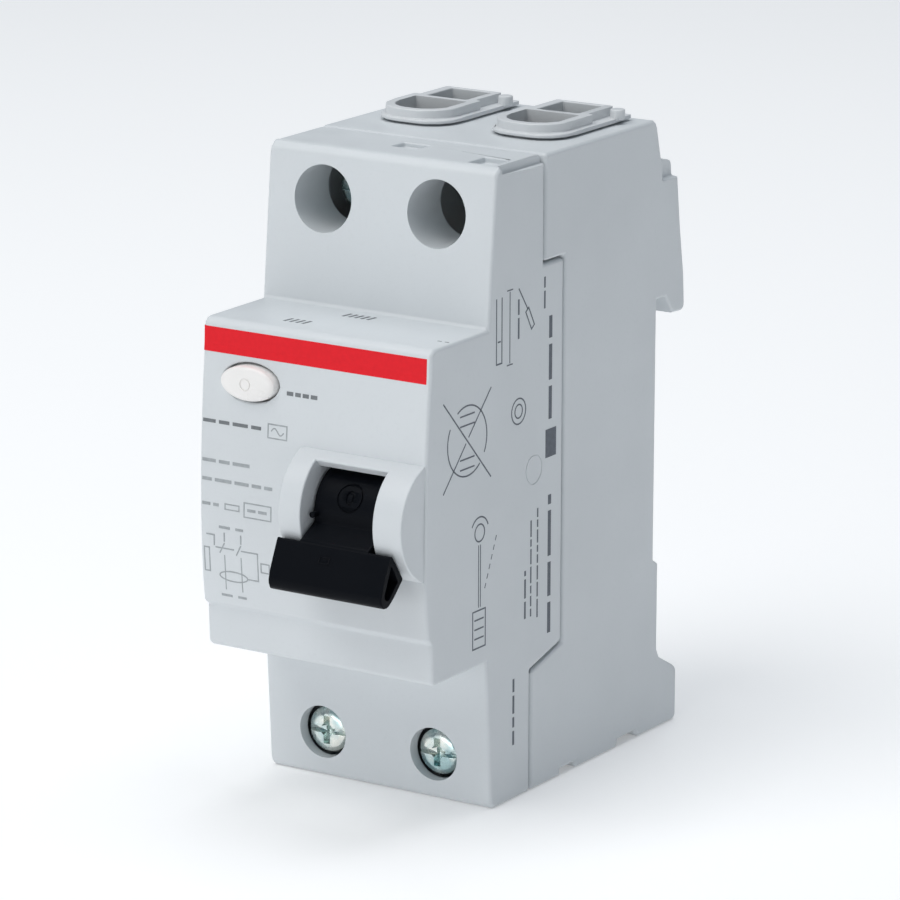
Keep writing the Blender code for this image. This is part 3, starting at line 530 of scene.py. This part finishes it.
def on_nose_top(x, y, height):
    return Vector((x, y, NOSE_CORNER[0] + height)) * MM


def ribbon(built, points, width, place, closed=False):
    """One printed line through points of the printed plane."""
    points = [Vector(point) for point in points]
    count = len(points)
    rings = []
    for index, point in enumerate(points):
        ways = []
        if closed or index > 0:
            ways.append((point - points[index - 1]).normalized())
        if closed or index < count - 1:
            ways.append((points[(index + 1) % count] - point).normalized())
        along = sum(ways, Vector((0.0, 0.0))).normalized()
        across = Vector((-along.y, along.x))
        reach = width / 2 / max(0.5, across.dot(Vector((-ways[0].y, ways[0].x))))
        left, right = point + across * reach, point - across * reach
        corners = ((left, INK_PROUD), (right, INK_PROUD), (right, -INK_SUNK), (left, -INK_SUNK))
        rings.append([built.verts.new(place(corner.x, corner.y, height)) for corner, height in corners])
    pairs = list(zip(rings, rings[1:]))
    if closed:
        pairs.append((rings[-1], rings[0]))
    for first, second in pairs:
        for step in range(4):
            after = (step + 1) % 4
            built.faces.new((first[step], first[after], second[after], second[step]))
    if not closed:
        built.faces.new(rings[0])
        built.faces.new(rings[-1])


def panel(built, across, up, place):
    """A printed area over a grid of the printed plane."""
    layers = []
    for height in (INK_PROUD, -INK_SUNK):
        layers.append([[built.verts.new(place(u, v, height)) for u in across] for v in up])
    top, bottom = layers
    rows, columns = len(up) - 1, len(across) - 1
    for layer in layers:
        for row in range(rows):
            for column in range(columns):
                built.faces.new((layer[row][column], layer[row][column + 1],
                                 layer[row + 1][column + 1], layer[row + 1][column]))
    rim = [(0, column) for column in range(columns + 1)]
    rim += [(row, columns) for row in range(1, rows + 1)]
    rim += [(rows, column) for column in range(columns - 1, -1, -1)]
    rim += [(row, 0) for row in range(rows - 1, 0, -1)]
    for (row, column), (next_row, next_column) in zip(rim, rim[1:] + rim[:1]):
        built.faces.new((top[row][column], top[next_row][next_column],
                         bottom[next_row][next_column], bottom[row][column]))


def arc(u, v, radius, start=0.0, end=360.0, steps=24, squash=1.0):
    """Points along an arc; a full circle leaves out its last point."""
    full = abs(end - start) >= 360.0
    count = steps if full else steps + 1
    turns = (math.radians(start + (end - start) * step / steps) for step in range(count))
    return [(u + radius * math.cos(turn), v + radius * squash * math.sin(turn)) for turn in turns]


def word_bars(built, start, end, level, height, place, chance, upright=False):
    """A line of unreadable print: short bars of uneven length with gaps between them."""
    at = start
    while at < end - 0.5:
        length = min(end - at, height * chance.uniform(1.2, 3.4))
        first, last = (at, level), (at + length, level)
        if upright:
            first, last = first[::-1], last[::-1]
        ribbon(built, [first, last], height * 0.4, place)
        at += length + height * 0.45


def add_print(name, draw, material):
    built = bmesh.new()
    draw(built)
    add_piece(name, from_bmesh(name, built), material, "housing")


def box_points(u, v):
    return [(u[0], v[0]), (u[1], v[0]), (u[1], v[1]), (u[0], v[1])]


def draw_stripe(built):
    """The stripe, which rolls round the nose's left edge and ends just before its right one."""
    left, right = -HALF_WIDTH + 0.06, HALF_WIDTH - 0.62
    rolled = left + EDGE_ROUND
    across = [left + EDGE_ROUND * step / 5 for step in range(6)]
    across += [rolled + (right - rolled) * step / 8 for step in range(1, 9)]
    panel(built, across, STRIPE_LEVELS, on_front)


def draw_front_marks(built):
    """Bars for the button's caption and for the type line, in the stronger grey."""
    chance = random.Random(4)
    at = -4.1
    for width in (1.0, 0.85, 0.95, 1.0):
        ribbon(built, [(at, 13.62), (at + width, 13.62)], 0.52, on_front)
        at += width + 0.3
    word_bars(built, -17.0, -7.9, 8.5, 1.15, on_front, chance)


def draw_fine_marks(built):
    """The wave in its box, bars for the rating lines, and the circuit sketch."""
    chance = random.Random(7)
    ribbon(built, box_points((-6.8, -3.9), (7.5, 9.3)), FINE_LINE, on_front, True)
    wave = [(-6.3 + step * 0.12, 8.4 + 0.42 * math.sin(math.tau * step / 16)) for step in range(17)]
    ribbon(built, wave, FINE_LINE, on_front)
    word_bars(built, -17.0, -9.6, 3.3, 1.1, on_front, chance)
    word_bars(built, -17.0, -6.0, 0.8, 1.1, on_front, chance)
    word_bars(built, -17.0, -14.4, -2.5, 1.0, on_front, chance)
    ribbon(built, box_points((-13.4, -11.2), (-2.9, -2.2)), FINE_LINE, on_front, True)
    ribbon(built, box_points((-10.4, -6.2), (-3.5, -1.6)), FINE_LINE, on_front, True)
    word_bars(built, -9.9, -6.6, -2.55, 0.95, on_front, chance)
    for x in (-13.6, -11.0):
        word_bars(built, x - 0.8, x + 0.9, -5.4, 0.8, on_front, chance)
        word_bars(built, x - 0.8, x + 0.9, -14.6, 0.8, on_front, chance)
        ribbon(built, [(x, -6.1), (x, -7.3)], FINE_LINE, on_front)
        ribbon(built, [(x, -7.5), (x - 0.75, -8.9)], FINE_LINE, on_front)
        ribbon(built, [(x, -9.1), (x, -13.8)], FINE_LINE, on_front)
    ribbon(built, arc(-12.3, -11.9, 2.2, squash=0.3), FINE_LINE, on_front, True)
    ribbon(built, [(-15.0, -8.2), (-12.1, -8.2)], FINE_LINE, on_front)
    ribbon(built, [(-10.0, -11.9), (-8.4, -11.9), (-8.4, -8.2), (-11.0, -8.2)], FINE_LINE, on_front)
    ribbon(built, [(-16.4, -6.6), (-15.2, -6.6), (-15.2, -8.0)], FINE_LINE, on_front)
    ribbon(built, box_points((-16.8, -16.0), (-11.6, -8.4)), FINE_LINE, on_front, True)
    ribbon(built, box_points((-7.9, -6.6), (-10.6, -9.4)), FINE_LINE, on_front, True)


def draw_side_marks(built):
    """Pictograms and lines of print on the right side, all generic."""
    place = on_right_side
    chance = random.Random(11)
    line, thin = SIDE_LINE, SIDE_LINE * 0.8
    # cable stripping length
    ribbon(built, [(-40.2, 25.6), (-40.2, 17.0), (-38.9, 17.0), (-38.9, 25.6)], line, place)
    ribbon(built, [(-39.9, 19.9), (-39.2, 19.9)], line, place)
    ribbon(built, [(-37.0, 26.0), (-37.0, 16.6)], thin, place)
    ribbon(built, [(-37.7, 26.2), (-36.3, 26.2)], thin, place)
    ribbon(built, [(-37.7, 16.4), (-36.3, 16.4)], thin, place)
    # screwdriver
    ribbon(built, [(-34.9, 26.0), (-32.7, 22.9)], line, place)
    ribbon(built, [(-32.5, 23.1), (-31.1, 20.6), (-31.8, 20.1), (-33.2, 22.6)], line, place, True)
    # crossed circle
    ribbon(built, [(-52.6, 14.4), (-41.4, 2.6)], line, place)
    ribbon(built, [(-52.6, 2.6), (-47.3, 8.2)], line, place)
    ribbon(built, [(-46.7, 8.9), (-41.4, 14.4)], line, place)
    ribbon(built, arc(-47.0, 8.5, 4.6, 150, 310), line, place)
    ribbon(built, arc(-47.0, 8.5, 4.6, -30, 120), line, place)
    for level in (4.9, 6.2, 10.6, 11.9):
        ribbon(built, [(-48.7, level), (-45.3, level)], line, place)
    # turning a screw
    ribbon(built, arc(-44.0, -4.3, 1.15), line, place, True)
    ribbon(built, arc(-44.0, -4.3, 2.1, 20, 150), line, place)
    ribbon(built, [(-44.25, -5.9), (-44.25, -14.2)], thin, place)
    ribbon(built, [(-43.8, -5.9), (-43.8, -14.2)], thin, place)
    ribbon(built, box_points((-45.6, -42.6), (-19.6, -14.6)), line, place, True)
    for step in range(3):
        level = -15.8 - step * 1.25
        ribbon(built, [(-45.2, level), (-43.0, level)], line, place)
    high, low = Vector((-40.0, -5.5)), Vector((-43.0, -12.5))
    for step in range(6):
        ribbon(built, [high.lerp(low, step / 6), high.lerp(low, (step + 0.55) / 6)], thin, place)
    # plain rings and a plain square
    ribbon(built, arc(-34.8, 9.8, 1.7), line, place, True)
    ribbon(built, arc(-34.8, 9.8, 0.9), line, place, True)
    ribbon(built, [(-26.9, 2.1), (-26.9, 5.9)], 2.6, place)
    # upright lines of print
    for level, first, last, height in (
        (-27.1, -21.8, -3.0, 1.9), (-27.1, 7.2, 21.0, 1.9), (-33.0, -18.5, -12.0, 1.0),
        (-31.6, -18.5, -5.5, 0.75), (-30.0, -19.0, -4.0, 0.75), (-35.7, -35.0, -26.0, 1.1),
        (-34.9, 19.4, 24.6, 0.9), (-28.6, 22.2, 26.4, 0.9),
    ):
        word_bars(built, first, last, level, height, place, chance, True)


def draw_top_marks(built):
    """Two groups of slanted strokes on the nose's upper face, and two small ticks at its right."""
    for x, y, count in ((-7.3, -51.9, 4), (-2.5, -45.6, 5)):
        for step in range(count):
            at = x + step * 0.95
            ribbon(built, [(at, y), (at + 0.25, y + 1.7)], 0.42, on_nose_top)
    for x in (15.2, 16.3):
        ribbon(built, [(x, -50.4), (x + 0.6, -50.4)], 0.22, on_nose_top)


def add_prints():
    add_print("front_stripe", draw_stripe, STRIPE_RED)
    add_print("front_captions", draw_front_marks, INK_GREY)
    add_print("front_rating_marks", draw_fine_marks, INK_LIGHT)
    add_print("side_marks", draw_side_marks, INK_SIDE)
    add_print("top_marks", draw_top_marks, INK_GREY)


# ---------------------------------------------------------------- pieces of the device

def add_cover():
    """Rounder bores and an ejector mark on the right side."""
    mark_start = (HALF_WIDTH - EJECTOR_DEPTH, EJECTOR_Y, EJECTOR_Z)
    cuts = [tube(2.0, 1.85, mark_start, (HALF_WIDTH + 1.0, EJECTOR_Y, EJECTOR_Z))]
    for pole in (-POLE, POLE):
        for level, z in SCREW_Z.items():
            radius = HOLE_RADIUS[level] + HOLE_CLEARANCE
            cuts.append(rod(radius, (pole, HOLE_MOUTH_Y, z), (pole, HOLE_END_Y[level], z)))
    refine("front_cover", "front_cover_moulding", (), cuts, 0.24, 3)


def add_base():
    refine("base_housing", "base_moulding", edge=0.2)


def add_collars():
    for side in ("left", "right"):
        refine("terminal_collar_" + side, "collar_moulding_" + side, edge=0.2, steps=3)


def radial(angle, x):
    """Turns +Z into the direction that leaves the handle's axis at an angle above the front."""
    way = Vector((0.0, -math.cos(math.radians(angle)), math.sin(math.radians(angle))))
    axis = Vector((x, HANDLE_Y, HANDLE_Z)) * MM
    return Matrix.Translation(axis) @ way.to_track_quat("Z", "X").to_matrix().to_4x4()


def ring_cutter(outer, inner, tall, matrix):
    """A ring to cut into the drum, stretched upright, whose floor follows the drum."""
    ring = tube(outer, inner, (0, 0, 3.0), (0, 0, 8.0))
    ring = moved(moved(ring, Matrix.Diagonal((tall, 1.0, 1.0, 1.0))), matrix)
    x = matrix.translation.x / MM
    drum = rod(DRUM_RADIUS - ENGRAVING, (x - 5, HANDLE_Y, HANDLE_Z), (x + 5, HANDLE_Y, HANDLE_Z))
    return combine(ring, (), (drum,))


def add_handle():
    """The position mark on the drum, and a small raised frame on the grip bar."""
    facing = radial(MARK_ANGLE, MARK_X)
    marks = [ring_cutter(1.95, 1.7, 1.0, facing), ring_cutter(0.62, 0.34, 1.6, facing)]
    (top_y, top_z), (low_y, low_z) = GRIP_FACE
    down = Vector((0.0, low_y - top_y, low_z - top_z)).normalized()
    out = Vector((0.0, down.z, -down.y))
    place = Matrix((Vector((1, 0, 0)), -down, out)).transposed().to_4x4()
    place.translation = (Vector((6.4, top_y, top_z)) + down * 2.2) * MM
    frame_mark = combine(block((-0.85, 0.85), (-0.5, 0.5), (-0.3, 0.07)), (),
                         (block((-0.65, 0.65), (-0.3, 0.3), (-0.5, 0.5)),))
    refine("toggle_lever", "toggle_moulding", [moved(frame_mark, place)], marks, 0.22, 3)


def add_button():
    """A low oval dome with an engraved ring, its hidden flange and its stem."""
    low, high, x, z = extent("test_button")
    half_x, half_z = (high.x - low.x) / 2, (high.z - low.z) / 2
    cap_x, cap_z = half_x - 1.0, half_z - 0.9
    rise = low.y - DOME_RISE
    profile = [(0, 0), (0.35 * cap_x, 0.02), (0.6 * cap_x, 0.09), (0.8 * cap_x, 0.2),
               (0.92 * cap_x, 0.33), (0.98 * cap_x, 0.52), (cap_x, 0.8), (cap_x, 3.5), (0, 3.5)]
    oval_place = Matrix.Translation(Vector((x, 0, z)) * MM) @ Matrix.Diagonal((1, 1, cap_z / cap_x, 1))
    dome = moved(turned(profile, (0, rise, 0), (0, 1, 0), 96), oval_place)
    oval = arc(x, z, half_x, steps=72, squash=half_z / half_x)
    flange = prism(oval, "Y", (low.y + 3.2, low.y + 4.0))
    stem = rod(1.6, (x, low.y + 3.5, z), (x, high.y, z), 48)
    mark = tube(0.85, 0.65, (x, rise - 1.0, z), (x, rise + 0.14, z))
    stand_in("test_button", "test_button_moulding", smooth(combine(dome, (flange, stem), (mark,)), 30))


def add_screws():
    """Domed screws with a slot, a cross and a threaded shank."""
    for node in sorted(name for name in NODES if name.startswith("terminal_screw")):
        low, high, x, z = extent(node)
        face, length = low.y, high.y - low.y
        profile = [(0, 0), (1.9, 0.05), (2.6, 0.22), (3.05, 0.6), (3.27, 1.1), (3.3, 1.5), (3.3, 2.05),
                   (3.15, 2.2), (2.15, 2.2)]
        at = THREAD_START
        while at < length - THREAD_END:
            profile += [(THREAD_ROOT, at), (THREAD_CREST, at + 0.32), (THREAD_CREST, at + 0.4)]
            at += THREAD_PITCH
        profile += [(1.7, length), (0, length)]
        slot_z, cross_z = (z - 0.42, z + 0.42), (z - 1.9, z + 1.9)
        cuts = (
            block((x - 4, x + 4), (face - 1, face + SLOT_DEPTH), slot_z),
            block((x - 0.5, x + 0.5), (face - 1, face + CROSS_DEPTH), cross_z),
            rod(1.0, (x, face - 0.2, z), (x, face + 1.8, z), 32, 0.4),
        )
        mesh = combine(turned(profile, (x, face, z), (0, 1, 0), 72), (), cuts, 0.05)
        stand_in(node, node.replace("terminal", "clamp"), smooth(mesh, 40))


def coil(node, radius, wire, turns, start, end, joint, squeezed):
    """A compression spring between two points."""
    start, end = Vector(start) * MM, Vector(end) * MM
    per_turn = 24
    curve = bpy.data.curves.new(node, "CURVE")
    curve.dimensions = "3D"
    curve.bevel_depth = wire * MM
    curve.bevel_resolution = 3
    curve.use_fill_caps = True
    count = turns * per_turn + 1
    spline = curve.splines.new("POLY")
    spline.points.add(count - 1)
    for index, point in enumerate(spline.points):
        turn = math.tau * index / per_turn
        rise = (end - start).length * index / (count - 1)
        point.co = (radius * MM * math.cos(turn), radius * MM * math.sin(turn), rise, 1.0)
    work = new_object("work", curve)
    mesh = bpy.data.meshes.new_from_object(work.evaluated_get(bpy.context.evaluated_depsgraph_get()))
    bpy.data.objects.remove(work)
    way = end - start
    mesh.transform(Matrix.Translation(start) @ way.to_track_quat("Z", "Y").to_matrix().to_4x4())
    made = stand_in(node, node + "_coil", smooth(mesh, 60))
    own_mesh(made)


def add_coils():
    """The two springs that shorten, with the CAD's own coil sizes."""
    coil("rail_latch_spring", 0.9, 0.18, 6, *LATCH_SPRING_ENDS, "rail_latch_slide", 0.45)
    _, _, x, z = extent("test_button")
    front, back = ((x, y, z) for y in BUTTON_SPRING_Y)
    coil("test_button_spring", 2.3, 0.22, 4, front, back, "test_button_slide", 0.74)


WIRES = ("toggle_spring", "contact_spring", "trip_latch_spring", "primary_conductor")
DRESSED = ("front_cover", "base_housing", "terminal_collar", "toggle_lever", "test_button",
           "terminal_screw", "rail_latch_spring")


def add_rest():
    """Softened edges on the plainer pieces, and round wire on the other springs and the conductors."""
    for node in sorted(NODES):
        if node.startswith(WIRES):
            shown = NODES[node]
            weld = shown.modifiers.new("weld", "WELD")
            weld.merge_threshold = SPLIT_CORNER
            rounder = shown.modifiers.new("rounder", "SUBSURF")
            rounder.levels = rounder.render_levels = 2
        elif node == "test_button_guide" or not node.startswith(DRESSED):
            refine(node, node + "_finished", edge=0.12)


def repaint_cad():
    """CAD nodes that stay visible get their slot's own procedural material."""
    for node, shown in NODES.items():
        _, material = finish_of(node)
        if not shown.data.materials:
            shown.data.materials.append(material)
        for seat in shown.material_slots:
            seat.link = "OBJECT"
            seat.material = material


# ---------------------------------------------------------------- studio

CAMERA_AZIMUTH = 32.92
CAMERA_ELEVATION = 14.60
CAMERA_ROLL = 0.12
CAMERA_DISTANCE = 675.0
CAMERA_TARGET = (0.0, -24.0, -0.2)
CAMERA_LENS = 203.4
SENSOR_WIDTH = 36.0

FLOOR_GAP = 0.05
FLOOR_GLOW = 0.16
SKY_COLOUR = (0.8, 0.9, 1.0, 1.0)
SKY_STRENGTH = 0.27
LIGHT_TARGET = (0.0, -0.02, 0.0)
LIGHTS = (
    # name, place in metres, size in metres, watts, colour
    ("key", (-0.3, -0.7, 1.12), (0.9, 0.9), 8.1, (1.0, 0.99, 0.97)),
    ("fill", (-0.1, -1.4, 0.06), (0.9, 0.5), 3.9, (1.0, 1.0, 1.0)),
    ("overhead", (0.0, 0.2, 1.4), (0.9, 0.9), 7.8, (0.97, 0.98, 1.0)),
)


def add_camera():
    data = bpy.data.cameras.new("camera")
    data.lens = CAMERA_LENS
    data.sensor_width = SENSOR_WIDTH
    camera = new_object("camera", data)
    turn, rise = math.radians(CAMERA_AZIMUTH), math.radians(CAMERA_ELEVATION)
    back = Vector((math.sin(turn) * math.cos(rise), -math.cos(turn) * math.cos(rise), math.sin(rise)))
    camera.location = (Vector(CAMERA_TARGET) + back * CAMERA_DISTANCE) * MM
    roll = Matrix.Rotation(math.radians(CAMERA_ROLL), 4, "Z")
    camera.rotation_euler = (back.to_track_quat("Z", "Y").to_matrix().to_4x4() @ roll).to_euler()
    bpy.context.scene.camera = camera


def add_area_light(name, place, size, power, colour):
    data = bpy.data.lights.new(name, "AREA")
    data.shape = "RECTANGLE"
    data.size, data.size_y = size
    data.energy = power
    data.color = colour
    light = new_object(name, data)
    light.location = place
    light.rotation_euler = (Vector(place) - Vector(LIGHT_TARGET)).to_track_quat("Z", "Y").to_euler()


def add_studio():
    floor = bmesh.new()
    bmesh.ops.create_grid(floor, x_segments=1, y_segments=1, size=4.0)
    bmesh.ops.translate(floor, vec=(0, 0, (HOUSING_LOW.z - FLOOR_GAP) * MM), verts=floor.verts)
    ground = new_object("floor", from_bmesh("floor", floor))
    pale, shader, place = start_material("floor_pale", 0.8, 0.0, 0.1)
    shader.inputs["Emission Color"].default_value = (1.0, 1.0, 1.0, 1.0)
    shader.inputs["Emission Strength"].default_value = FLOOR_GLOW
    haze = noise(pale, place, 3.0, 2.0)
    tone = mix(pale, haze, (0.93, 0.93, 0.935), (0.95, 0.95, 0.95))
    pale.node_tree.links.new(tone, shader.inputs["Base Color"])
    ground.data.materials.append(pale)
    world = bpy.data.worlds.new("studio")
    world.use_nodes = True
    background = world.node_tree.nodes["Background"]
    background.inputs["Color"].default_value = SKY_COLOUR
    background.inputs["Strength"].default_value = SKY_STRENGTH
    bpy.context.scene.world = world
    bpy.context.scene.view_settings.view_transform = "Standard"
    for light in LIGHTS:
        add_area_light(*light)


add_cover()
add_base()
add_collars()
add_handle()
add_button()
add_screws()
add_coils()
add_rest()
add_prints()
repaint_cad()
add_camera()
add_studio()
